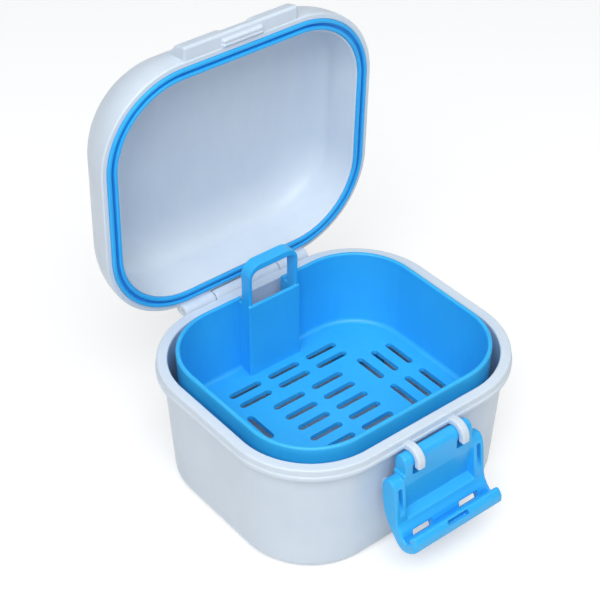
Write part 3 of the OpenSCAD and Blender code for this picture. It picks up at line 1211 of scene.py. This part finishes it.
@dataclass
class BasketAssembly:
    """The lift-out strainer basket with its drain slots, corner feet and handle."""

    plan: CasePlan
    finishes: Finishes
    rise: float = 2.8
    outer_r: float = 21.5
    wall: float = 1.4
    rim_round: float = 0.65
    depth: float = 24.0
    floor: float = 1.6
    floor_round: float = 1.5
    draft: float = 0.6
    fillet: float = 2.5
    edge_round: float = 0.2
    slot_w: float = 2.4
    slot_l: float = 12.0
    handle_w: float = 18.8
    handle_rise: float = 17.7
    handle_y: float = 28.4
    handle_d: float = 4.2
    handle_set: float = 0.5
    handle_cell: float = 0.22
    loop_round: float = 4.5
    hole_round: float = 2.6
    strap_t: float = 2.4
    leg_t: float = 1.2
    plate_t: float = 1.2
    plate_rise: float = 0.3
    plate_side: float = 0.4
    foot_w: float = 1.5
    foot_in: float = 0.2
    foot_arc: float = 52.0
    foot_corner: float = 0.4
    cup_floor: float = 2.05

    @property
    def grid_z(self) -> float:
        """Height of the strainer floor."""
        return self.plan.rim_z - self.depth

    @property
    def top_z(self) -> float:
        """Height of the basket's rim."""
        return self.plan.rim_z + self.rise

    def section(self) -> Outline:
        """Section of the basket's floor and wall.

        Returns:
            (distance from the core, height) points.
        """
        inner_r, under_z = self.outer_r - self.wall, self.grid_z - self.floor
        points: Outline = [(0, under_z)]
        points += arc((self.outer_r - self.draft - self.fillet, under_z + self.fillet),
                      self.fillet, -90, -1, 12)
        points += rounding((self.outer_r, self.top_z), self.rim_round, 0, 90, 7)
        points += rounding((inner_r, self.top_z), self.rim_round, 90, 180, 7)
        points += arc((inner_r - self.draft - self.floor_round, self.grid_z + self.floor_round),
                      self.floor_round, -1, -90, 9)
        return points + [(0, self.grid_z)]

    def slot_places(self) -> list[tuple[float, float, float]]:
        """Middle and turn of every drain slot, as the photographed weave has them.

        Returns:
            Its x and y in millimetres and its turn in degrees.
        """
        places = [(x * 7.6, y, 0.0) for x in (-1, 1) for y in (-12, -6, 0, 6, 12)]
        places += [(x * 15.2, y, 0.0) for x in (-1, 0, 1) for y in (-24.4, -19, 19, 24.4)]
        places += [(side * x, y, 90.0) for side in (-1, 1) for x in (22, 28, 34) for y in (-8, 8)]
        return places

    def perforate(self, shell: Piece) -> None:
        """Cuts the drain slots with one node tree: a slot set on every marked point.

        Args:
            shell: The basket's wall and floor.
        """
        places = self.slot_places()
        marks = bpy.data.meshes.new("slot_marks")
        marks.from_pydata([(x, y, self.grid_z - self.floor / 2) for x, y, _ in places], [], [])
        turns = marks.attributes.new("slot_turn", "FLOAT", "POINT")
        turns.data.foreach_set("value", [math.radians(turn) for *_, turn in places])
        holder = linked("slot_marks", marks)
        tool = NodeTool("drain_slots", {
            "Slot length": self.slot_l, "Slot width": self.slot_w,
            "Cut depth": self.floor * 2 + 2})
        points = tool.helper_geometry("Marks")
        # A radius just short of half the width keeps the two ends of a slot whole.
        outline = tool.rounded_rectangle(
            "Slot length", "Slot width", tool.share_of("Slot width", 0.4999), 8)
        low, top = (tool.node("ShaderNodeCombineXYZ", 0, {"Z": tool.share_of("Cut depth", share)})
                    for share in (-0.5, 0.5))
        depth = tool.node("GeometryNodeCurvePrimitiveLine", "Curve", {
            "Start": low, "End": top}, mode="POINTS")
        turn = tool.node("GeometryNodeInputNamedAttribute", "Attribute", {
            "Name": "slot_turn"}, data_type="FLOAT")
        cutters = tool.set_out(points, tool.swept(depth, outline), turn)
        solid = tool.node("GeometryNodeRealizeInstances", "Geometry", {"Geometry": cutters})
        tool.end(tool.node("GeometryNodeMeshBoolean", "Mesh", {
            "Mesh 1": tool.source["Geometry"], "Mesh 2": solid},
            operation="DIFFERENCE", solver="EXACT"))
        tool.apply(shell, self.finishes.blue_basket, Marks=holder)
        remove(holder)

    def shell(self) -> Piece:
        """The slotted wall and floor, open behind the handle.

        Returns:
            The basket without its handle and feet.
        """
        shell = self.plan.wall("basket_shell", self.section())
        half = self.handle_w / 2 - self.leg_t
        niche = rectangle(self.handle_y + self.plate_t, self.grid_z,
                          self.handle_y + CLEAR, self.top_z + CLEAR)
        cut(shell, cutter("niche", niche, -half, half))
        self.perforate(shell)
        level_out(shell)
        return edges_rounded(shell, self.edge_round, 2, 55)

    def handle(self) -> Piece:
        """The loop, its front plate and the two sides of the finger well.

        Returns:
            The handle in one piece.
        """
        half, top = self.handle_w / 2, self.plan.rim_z + self.handle_rise
        inner, inner_top = half - self.leg_t, top - self.strap_t
        low = self.grid_z - self.floor / 2
        loop = [
            (half, low), *rounding((half, top), self.loop_round, 0, 90, 12),
            *rounding((-half, top), self.loop_round, 90, 180, 12), (-half, low), (-inner, low),
            *rounding((-inner, inner_top), self.hole_round, 180, 90, 10),
            *rounding((inner, inner_top), self.hole_round, 90, 0, 10), (inner, low)]
        front, side = self.handle_y + self.handle_set, half + self.plate_side
        plate = rectangle(-side, low, side, self.top_z + self.plate_rise)
        back = self.plan.core_y + self.outer_r - self.wall / 2 - self.draft
        well = rectangle(front, low, back, self.top_z - self.wall / 2)
        parts = [bar("loop", loop, front, front + self.handle_d, Axis.Y, corner=0),
                 bar("plate", plate, self.handle_y, self.handle_y + self.plate_t, Axis.Y)]
        parts += [bar("well_side", well, *span) for span in both_sides(inner, half)]
        return grown_together("basket_handle", parts, self.handle_cell)

    def feet(self) -> Piece:
        """The four curved feet, one section run along an arc and set at the corners.

        Returns:
            All four feet as one piece.
        """
        radius = self.outer_r - self.draft - self.fillet - self.foot_in + self.foot_w / 2
        height = self.grid_z - self.floor / 2 - self.cup_floor
        path = arc((0, 0), radius, 45 - self.foot_arc / 2, 45 + self.foot_arc / 2, 20)
        feet = linked("basket_feet", wire("foot_rail", [(x, y, 0) for x, y in path]))
        tool = NodeTool("corner_feet", {
            "Foot width": self.foot_w, "Foot height": height, "Core x": self.plan.core_x * 2,
            "Core y": self.plan.core_y * 2, "Corner": self.foot_corner})
        section = tool.rounded_rectangle("Foot width", "Foot height", tool.source["Corner"], 3)
        foot = tool.swept(tool.curve(tool.source["Geometry"]), section)
        corners = tool.node("GeometryNodeMeshGrid", "Mesh", {
            "Size X": tool.source["Core x"], "Size Y": tool.source["Core y"],
            "Vertices X": 2, "Vertices Y": 2})
        # Each corner turns its foot by whole quarters.
        spot = add_node(tool.tree, "ShaderNodeSeparateXYZ", {
            0: tool.node("GeometryNodeInputPosition", 0, {})}).outputs
        angle = maths(tool.tree, "ARCTAN2", spot["Y"], spot["X"])
        quarters = maths(tool.tree, "FLOOR", maths(tool.tree, "DIVIDE", angle, math.pi / 2))
        turn = maths(tool.tree, "MULTIPLY", quarters, math.pi / 2)
        tool.end(tool.set_out(corners, foot, turn))
        tool.apply(feet, self.finishes.blue_basket)
        feet.data.transform(Matrix.Translation((0, 0, self.cup_floor + height / 2)))
        return feet

    def build(self) -> None:
        """Builds and dresses the basket."""
        blue = self.finishes.blue_basket
        dress(to_frame(self.shell()), blue, Body.BASKET, "basket_blue", "strainer_basket")
        for piece in (self.handle(), self.feet()):
            dress(to_frame(piece), blue, Body.BASKET, "basket_blue")


# ---------------------------------------------------------------- lid


@dataclass
class LidAssembly:
    """The domed lid with its ledge, hinge lugs and soft seal, modelled closed and then opened."""

    plan: CasePlan
    hinge: HingeLine
    finishes: Finishes
    height: float = 21.5
    gap: float = 0.7
    lip_out: float = 0.4
    lip_round: float = 0.5
    dome_in: float = 19.0
    skin: float = 1.4
    open_angle: float = 88.0
    mouth_round: float = 0.2
    channel_r: float = 22.9
    channel_w: float = 3.5
    channel_h: float = 3.0
    channel_round: float = 0.15
    cavity_wall: float = 11.5
    lip_web: float = 0.5
    cavity_lean: float = 0.2
    bore_r: float = 0.85
    seal_side: float = 0.05
    seal_proud: float = 0.65
    seal_round: float = 0.5
    groove_w: float = 1.0
    groove_depth: float = 1.7
    groove_lip: float = 0.4
    groove_foot: float = 0.15
    ledge_w: float = 40.0
    ledge_out: float = 4.2
    ledge_h: float = 8.6
    ledge_cell: float = 0.22
    dip_half: float = 5.4
    dip_drop: float = 0.6
    tab_w: float = 14.0

    @property
    def lip_z(self) -> float:
        """Height of the closed lid's lip."""
        return self.plan.rim_z + self.gap

    @property
    def lip_r(self) -> float:
        """Corner radius of the lip."""
        return self.plan.rim_r + self.lip_out

    def opening(self) -> Matrix:
        """The turn about the pin from closed to the open rest pose, in millimetres.

        Returns:
            The turn as a matrix.
        """
        pin = Vector((0, self.hinge.y, self.hinge.z))
        turn = Matrix.Rotation(math.radians(-self.open_angle), 4, "X")
        return Matrix.Translation(pin) @ turn @ Matrix.Translation(-pin)

    def section(self) -> Outline:
        """Section of the lid from the hollow's wall, round the lip and over the dome.

        Returns:
            (distance from the core, height) points.
        """
        lip_z, lip_r, low = self.lip_z, self.lip_r, self.lip_round
        flat_r, out_r = lip_r - self.dome_in, self.channel_r + self.channel_w
        cavity_r, ceiling = self.channel_r - self.lip_web, self.height - self.skin
        channel_z = lip_z + self.channel_h
        points: Outline = [(0, lip_z + ceiling)]
        points += ellipse((flat_r, lip_z + self.cavity_wall), cavity_r - self.cavity_lean - flat_r,
                          ceiling - self.cavity_wall, 90, 0, 28)
        points += rounding((cavity_r, lip_z), self.mouth_round, 180, 270, 4)
        points += rounding((self.channel_r, lip_z), self.channel_round, -90, 0, 3)
        points += [(self.channel_r, channel_z), (out_r, channel_z)]
        points += rounding((out_r, lip_z), self.channel_round, 180, 270, 3)
        points += rounding((lip_r, lip_z), low, -90, 0, 6)
        points += ellipse((flat_r, lip_z + low), self.dome_in, self.height - low, 3, 90, 44)
        return points + [(0, lip_z + self.height)]

    def shell(self) -> Piece:
        """The dome with its hollow and the channel for the seal.

        Returns:
            The dome, closed.
        """
        shell = self.plan.wall("lid_dome", self.section())
        reach = self.hinge.middle_l / 2 + self.hinge.end_gap
        return cut(shell, self.hinge.round_bar(
            "knuckle_room", self.hinge.knuckle_r + self.hinge.clearance, -reach, reach))

    def lugs(self) -> Piece:
        """The two outer hinge knuckles with their webs.

        Returns:
            Both lugs as one piece, bored for the pin.
        """
        pin_y, pin_z, back = self.hinge.y, self.hinge.z, self.hinge.y + self.hinge.knuckle_r
        web = [(self.plan.core_y + self.channel_r + self.channel_w + 0.5, self.lip_z),
               (pin_y - 1.6, pin_z + 1.3), (back, pin_z), (back, self.lip_z + 1.4),
               (self.plan.core_y + self.lip_r - 0.6, self.lip_z + 4.4)]
        parts = []
        for span in both_sides(self.hinge.middle_l / 2 + self.hinge.end_gap, self.hinge.length / 2):
            parts.append(self.hinge.round_bar(
                "lug", self.hinge.knuckle_r, *span, self.hinge.end_round))
            parts.append(bar("lug_web", web, *span))
        lugs = grown_together("lid_hinge_lugs", parts, self.hinge.cell)
        return cut(lugs, self.hinge.round_bar(
            "bore", self.bore_r, -self.hinge.length, self.hinge.length))

    def wedge(self, drop: float) -> Outline:
        """Side view of the ledge.

        Args:
            drop: How far the crest is set back.

        Returns:
            (y, z) points.
        """
        lip_y, z = -(self.plan.core_y + self.lip_r), self.lip_z
        inner, outer = lip_y + 1.8, lip_y - self.ledge_out
        return [(inner, z + 0.3), (outer + 0.5, z + 0.3), (outer, z + 0.8), (outer + 0.1, z + 1.6),
                (outer + 0.7 + drop, z + 3.4), (outer + 1 + drop, z + 4.6),
                (outer + 1.5 + drop, z + 5.2), (inner, z + self.ledge_h)]

    def ledge(self) -> Piece:
        """The ledge that the latch grips, dipped in the middle, over a double thumb ridge.

        Returns:
            The ledge with its ridges, in one piece.
        """
        parts = [bar("ledge_side", self.wedge(0), *span, corner=0.35, edge=0.45)
                 for span in reversed(both_sides(self.dip_half, self.ledge_w / 2))]
        reach = self.dip_half + 0.6
        parts.append(bar("ledge_dip", self.wedge(self.dip_drop), -reach, reach,
                         corner=0.35, edge=0.0))
        lip_y, z = -(self.plan.core_y + self.lip_r), self.lip_z
        for out in (0.7, 2.0):
            ridge = [(lip_y - out + 0.6, z + 0.8), (lip_y - out + 0.5, z - 0.5),
                     (lip_y - out, z - 0.8), (lip_y - out - 0.5, z - 0.5),
                     (lip_y - out - 0.6, z + 0.8)]
            parts.append(bar("thumb_ridge", ridge, -self.tab_w / 2, self.tab_w / 2,
                             corner=0.25, edge=0.3))
        return grown_together("lid_ledge", parts, self.ledge_cell)

    def seal_section(self) -> Outline:
        """Section of the seal about the middle of its channel, with the groove in its lips.

        Returns:
            (distance from the middle, height) points.
        """
        half, gap = self.channel_w / 2 - self.seal_side, self.groove_w / 2
        tip, root = self.lip_z - self.seal_proud, self.lip_z + self.channel_h - self.seal_side
        return [
            (-half, root), *rounding((-half, tip), self.seal_round, 180, 270, 6),
            *rounding((-gap, tip), self.groove_lip, 270, 360, 6),
            *rounding((-gap, tip + self.groove_depth), self.groove_foot, 180, 90, 3),
            *rounding((gap, tip + self.groove_depth), self.groove_foot, 90, 0, 3),
            *rounding((gap, tip), self.groove_lip, 180, 270, 6),
            *rounding((half, tip), self.seal_round, 270, 360, 6), (half, root)]

    def seal(self) -> Piece:
        """The soft double-lipped seal, one section run round its channel.

        Returns:
            The seal, closed.
        """
        # The sweep stands a section on its head, so the heights go in with their sign turned.
        outline = [(x, -z, 0) for x, z in self.seal_section()]
        holder = linked("seal_section", wire("seal_section", outline, closed=True))
        seal = linked("lid_seal_ring", bpy.data.meshes.new("lid_seal_ring"))
        middle = self.channel_r + self.channel_w / 2
        tool = NodeTool("seal_ring", {
            "Ring width": 2 * (self.plan.core_x + middle),
            "Ring depth": 2 * (self.plan.core_y + middle), "Corner radius": middle})
        profile = tool.curve(tool.helper_geometry("Section"))
        ring = tool.rounded_rectangle("Ring width", "Ring depth", tool.source["Corner radius"], 30)
        upright = tool.node("GeometryNodeSetCurveNormal", "Curve", {"Curve": ring}, mode="Z_UP")
        tool.end(tool.swept(upright, profile, caps=False))
        tool.apply(seal, self.finishes.silicone, Section=holder)
        remove(holder)
        return seal

    def build(self) -> None:
        """Builds the lid closed, opens it and dresses it."""
        turn, white = self.opening(), self.finishes.white_shell
        dress(to_frame(self.shell(), turn), white, Body.LID, "lid_white", "lid_shell")
        for piece in (self.ledge(), self.lugs()):
            dress(to_frame(piece, turn), white, Body.LID, "lid_white")
        dress(to_frame(self.seal(), turn), self.finishes.silicone, Body.LID,
              "seal_blue", "lid_seal")


# ---------------------------------------------------------------- latch and pin


@dataclass
class LatchAssembly:
    """The snap latch: barrel, panel sunk between two cheeks, and a trough behind its lip.

    Every view is seen from the side, as (y, z) points from the middle of the barrel.
    """

    latch: LatchLine
    finishes: Finishes
    width: float = 34.4
    panel_w: float = 26.2
    overlap: float = 0.3
    notch_side: float = 0.25
    notch_r: float = 4.94
    shoulder_drop: float = 3.2
    trough_end: float = 1.0
    end_overlap: float = 0.5
    lip_corner: float = 1.3
    lip_front: float = -12.6
    pocket_w: float = 1.45
    pocket_in: float = 1.3
    vent_l: float = 7.4
    vent_x: float = 9.0
    grip_l: float = 8.0
    form_corner: float = 0.45
    cell: float = 0.21
    panel_view: View = (
        (2.4, 0), (2.3, -2), (1.6, -5.5), (0.6, -9), (0.2, -16.5), (-0.9, -19), (-3.4, -19),
        (-1.25, -17.6), (-2.5, -7.2), (-2.5, -2), (-2.4, 0))
    cheek_top: View = (
        (2.5, -7.4), (2.1, -5.4), (1.1, -4.5), (0, -4.15), (-1.4, -4.3), (-2.5, -5.4), (-3.1, -7),
        (-3.4, -8.5), (-3.7, -11.2), (-4, -14.2), (-4.4, -17.6))
    cheek_back: View = (
        (-10.5, -25.3), (-8.6, -26.3), (-7, -26.5), (-5, -25.5), (-2.4, -22.6), (-0.4, -19.9),
        (1.2, -16.5), (2, -12.6))
    trough_end_top: View = (
        (-4.9, -19.5), (-6.1, -21.3), (-7.3, -22.5), (-8.3, -22.9), (-9.6, -22.2), (-11, -21.3),
        (-12, -21.1), (-12.5, -21.7), (-12.6, -23.4))
    trough_front: View = (
        (-4.5, -18.4), (-5.1, -19.5), (-6.2, -20.8), (-6.7, -22), (-6.9, -23.2), (-7.4, -24),
        (-8.2, -24.3), (-8.9, -24.1), (-9.2, -23.2), (-9.6, -20.4), (-10, -19.5), (-10.8, -19.1),
        (-11.4, -19.3), (-12.35, -20.5), (-12.6, -21.4), (-12.6, -23.4))
    lip_top: View = ((-1, -17.6), (-1.25, -17.6))
    lip_back: View = (
        (-10.5, -25.2), (-8.7, -25.9), (-7.2, -25.9), (-5.4, -24.8), (-3.2, -22), (-0.4, -18.6))
    pocket_view: View = ((-9, -6.8), (-1.6, -6.8), (-1.9, -12), (-4.7, -17.2), (-9, -17.2))
    vent_view: View = ((-7.8, -20), (-1.8, -26), (-1.8, -28.55), (-7.8, -22.55))
    grip_view: View = ((-11.65, -18.85), (-12.45, -19.8), (-11.5, -22.6), (-10.3, -22))

    def plan_outline(self) -> Outline:
        """The latch from above, with the front corners of its finger lip rounded.

        Returns:
            (x, y) points.
        """
        half, front = self.width / 2 + 0.1, self.lip_front - 0.1
        return [(half, 8), (-half, 8), *rounding((-half, front), self.lip_corner, 180, 270, 6),
                *rounding((half, front), self.lip_corner, 270, 360, 6)]

    def cheek(self, side: int) -> list[Piece]:
        """One cheek: the inner part that carries on as the trough, and the trough's end wall.

        Args:
            side: 0 for the right cheek, 1 for the left one.

        Returns:
            Its solids.
        """
        inner, half = self.panel_w / 2, self.width / 2
        body = bar("cheek_body", self.cheek_top + self.trough_front + self.cheek_back,
                   *both_sides(inner, half - self.trough_end + self.end_overlap)[side],
                   corner=self.form_corner, edge=0.3)
        end = bar("cheek_end", self.cheek_top + self.trough_end_top + self.cheek_back,
                  *both_sides(half - self.trough_end, half)[side],
                  corner=self.form_corner, edge=0.4)
        pocket = inner + self.pocket_in
        span = both_sides(pocket, pocket + self.pocket_w)[side]
        cut(body, cutter("pocket", self.pocket_view, *span))
        for solid in (body, end):
            plan = cutter("plan", self.plan_outline(), -30, 2, Axis.Z)
            combined(solid, plan, "INTERSECT")
        return [body, end]

    def clip(self) -> Piece:
        """The whole latch, built about the middle of its barrel and then set in its place.

        Returns:
            The latch as one moulding.
        """
        reach, notch = self.panel_w / 2 + self.overlap, self.latch.arm_w / 2 + self.notch_side
        panel = bar("panel", self.panel_view, -reach, reach, corner=0.5, edge=0.2)
        lip = bar("lip", self.lip_top + self.trough_front + self.lip_back, -reach, reach,
                  corner=self.form_corner, edge=0.0)
        barrel_end = self.latch.length / 2
        shoulder = rectangle(-6, -self.shoulder_drop, 6, 4)
        ends = both_sides(barrel_end - 0.02, barrel_end + 4)
        for sign, span in ((-1, ends[1]), (1, ends[0])):
            middle = sign * self.latch.arm_gap / 2
            cut(panel, rod("arm_room", 0, 0, self.notch_r, middle - notch, middle + notch),
                cutter("shoulder", shoulder, *span))
            middle = sign * self.vent_x
            cut(lip, bar("vent", self.vent_view, middle - self.vent_l / 2,
                         middle + self.vent_l / 2, corner=0.2, edge=0))
        cut(lip, cutter("grip_slot", self.grip_view, -self.grip_l / 2, self.grip_l / 2))
        barrel = rod("barrel", 0, 0, self.latch.radius, -barrel_end, barrel_end, 0.5)
        solids = [panel, lip, *self.cheek(0), *self.cheek(1), barrel]
        clip = grown_together("latch_moulding", solids, self.cell)
        clip.data.transform(self.latch.place())
        return clip

    def build(self) -> None:
        """Builds and dresses the latch."""
        dress(to_frame(self.clip()), self.finishes.blue_latch, Body.LATCH,
              "latch_blue", "latch_clip")


@dataclass
class PinAssembly:
    """The steel hinge pin with its rounded ends."""

    hinge: HingeLine
    finishes: Finishes
    radius: float = 0.8
    length: float = 47.6
    end_round: float = 0.25

    def build(self) -> None:
        """Builds and dresses the pin."""
        half = self.length / 2
        pin = self.hinge.round_bar("hinge_steel_pin", self.radius, -half, half, self.end_round)
        dress(to_frame(pin), self.finishes.steel, Body.CUP, "pin_steel", "hinge_pin")


# ---------------------------------------------------------------- studio


@dataclass
class Studio:
    """Pale floor, soft lamps and the camera at the photograph's viewing angle."""

    lens_px: float = 1625.8
    image_px: int = 600
    sensor_mm: float = 36.0
    eye: tuple[float, float, float] = (-0.2419, -0.2841, 0.3515)
    azimuth: float = -38.85
    elevation: float = 37.834
    floor_size: float = 6.0
    lamp_size: float = 0.6
    lamp_tint: tuple[float, float, float] = (0.96, 0.985, 1.0)
    lamp_aim: tuple[float, float, float] = (0.0, 0.0, 0.05)
    room_tint: tuple[float, float, float, float] = (0.93, 0.96, 1.0, 1.0)
    room_light: float = 0.22

    def camera(self) -> None:
        """Sets the camera where the photograph was taken from."""
        a, e = math.radians(self.azimuth), math.radians(self.elevation)
        back = Vector((math.sin(a) * math.cos(e), -math.cos(a) * math.cos(e), math.sin(e)))
        right = Vector((math.cos(a), math.sin(a), 0))
        up = back.cross(right)
        data = bpy.data.cameras.new("photo_camera")
        data.sensor_width = self.sensor_mm
        data.lens = self.lens_px / self.image_px * self.sensor_mm
        data.clip_start, data.clip_end = 0.01, 30
        camera = linked("photo_camera", data)
        turn = Matrix((right, up, back)).transposed().to_4x4()
        camera.matrix_world = Matrix.Translation(self.eye) @ turn
        bpy.context.scene.camera = camera

    def floor(self) -> None:
        """Lays the pale floor."""
        half = self.floor_size / 2
        corners = [(x, y, 0) for x, y in rectangle(-half, -half, half, half)]
        floor = new_piece("studio_floor", corners, [[0, 1, 2, 3]])
        floor.data.materials.append(MattPaperFloor("matt_studio_paper", "#DCDBDA", 0.41).make())

    def lamp(self, name: str, place: Sequence[float], power: float) -> None:
        """Hangs one soft square lamp that faces the case.

        Args:
            name: Name of the lamp.
            place: Where it hangs, in metres.
            power: Its power in watts.
        """
        data = bpy.data.lights.new(name, "AREA")
        data.shape, data.size = "SQUARE", self.lamp_size
        data.energy, data.color = power, self.lamp_tint
        lamp = linked(name, data)
        lamp.location = place
        aim = Vector(self.lamp_aim) - Vector(place)
        lamp.rotation_mode = "QUATERNION"
        lamp.rotation_quaternion = aim.to_track_quat("-Z", "Y")

    def world(self) -> None:
        """A plain room: white where the camera sees it, dimmer and cooler as light."""
        world = bpy.data.worlds.new("studio_room")
        world.use_nodes = True
        tree = world.node_tree
        tree.nodes.clear()
        path = add_node(tree, "ShaderNodeLightPath").outputs
        seen = maths(tree, "MAXIMUM", path["Is Camera Ray"], path["Is Transmission Ray"])
        room = add_node(tree, "ShaderNodeBackground", {
            "Color": self.room_tint, "Strength": self.room_light})
        plain = add_node(tree, "ShaderNodeBackground", {"Color": (1.0, 1.0, 1.0, 1.0)})
        either = add_node(tree, "ShaderNodeMixShader", {
            0: seen, 1: room.outputs[0], 2: plain.outputs[0]})
        add_node(tree, "ShaderNodeOutputWorld", {"Surface": either.outputs[0]})
        bpy.context.scene.world = world

    def build(self) -> None:
        """Sets up the whole studio."""
        self.camera()
        self.floor()
        self.world()
        for name, place, power in (
            ("soft_key", (-0.32, -0.52, 0.7), 2.3),
            ("soft_side", (-0.6, -0.3, 0.75), 4.0),
            ("soft_top", (0.0, -0.4, 0.85), 2.2),
            ("soft_back", (-0.1, 0.3, 0.9), 1.4),
            ("soft_fill", (0.45, -0.25, 0.7), 0.5),
        ):
            self.lamp(name, place, power)
        bpy.context.scene.view_settings.view_transform = "Standard"


def main() -> None:
    """Builds the case in order."""
    logging.basicConfig(level=logging.INFO, format="%(name)s: %(message)s")
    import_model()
    Studio().build()
    plan, hinge, latch, finishes = CasePlan(), HingeLine(), LatchLine(), Finishes.made()
    CupAssembly(plan, hinge, latch, finishes).build()
    BasketAssembly(plan, finishes).build()
    LidAssembly(plan, hinge, finishes).build()
    PinAssembly(hinge, finishes).build()
    LatchAssembly(latch, finishes).build()


if __name__ == "__main__":
    main()
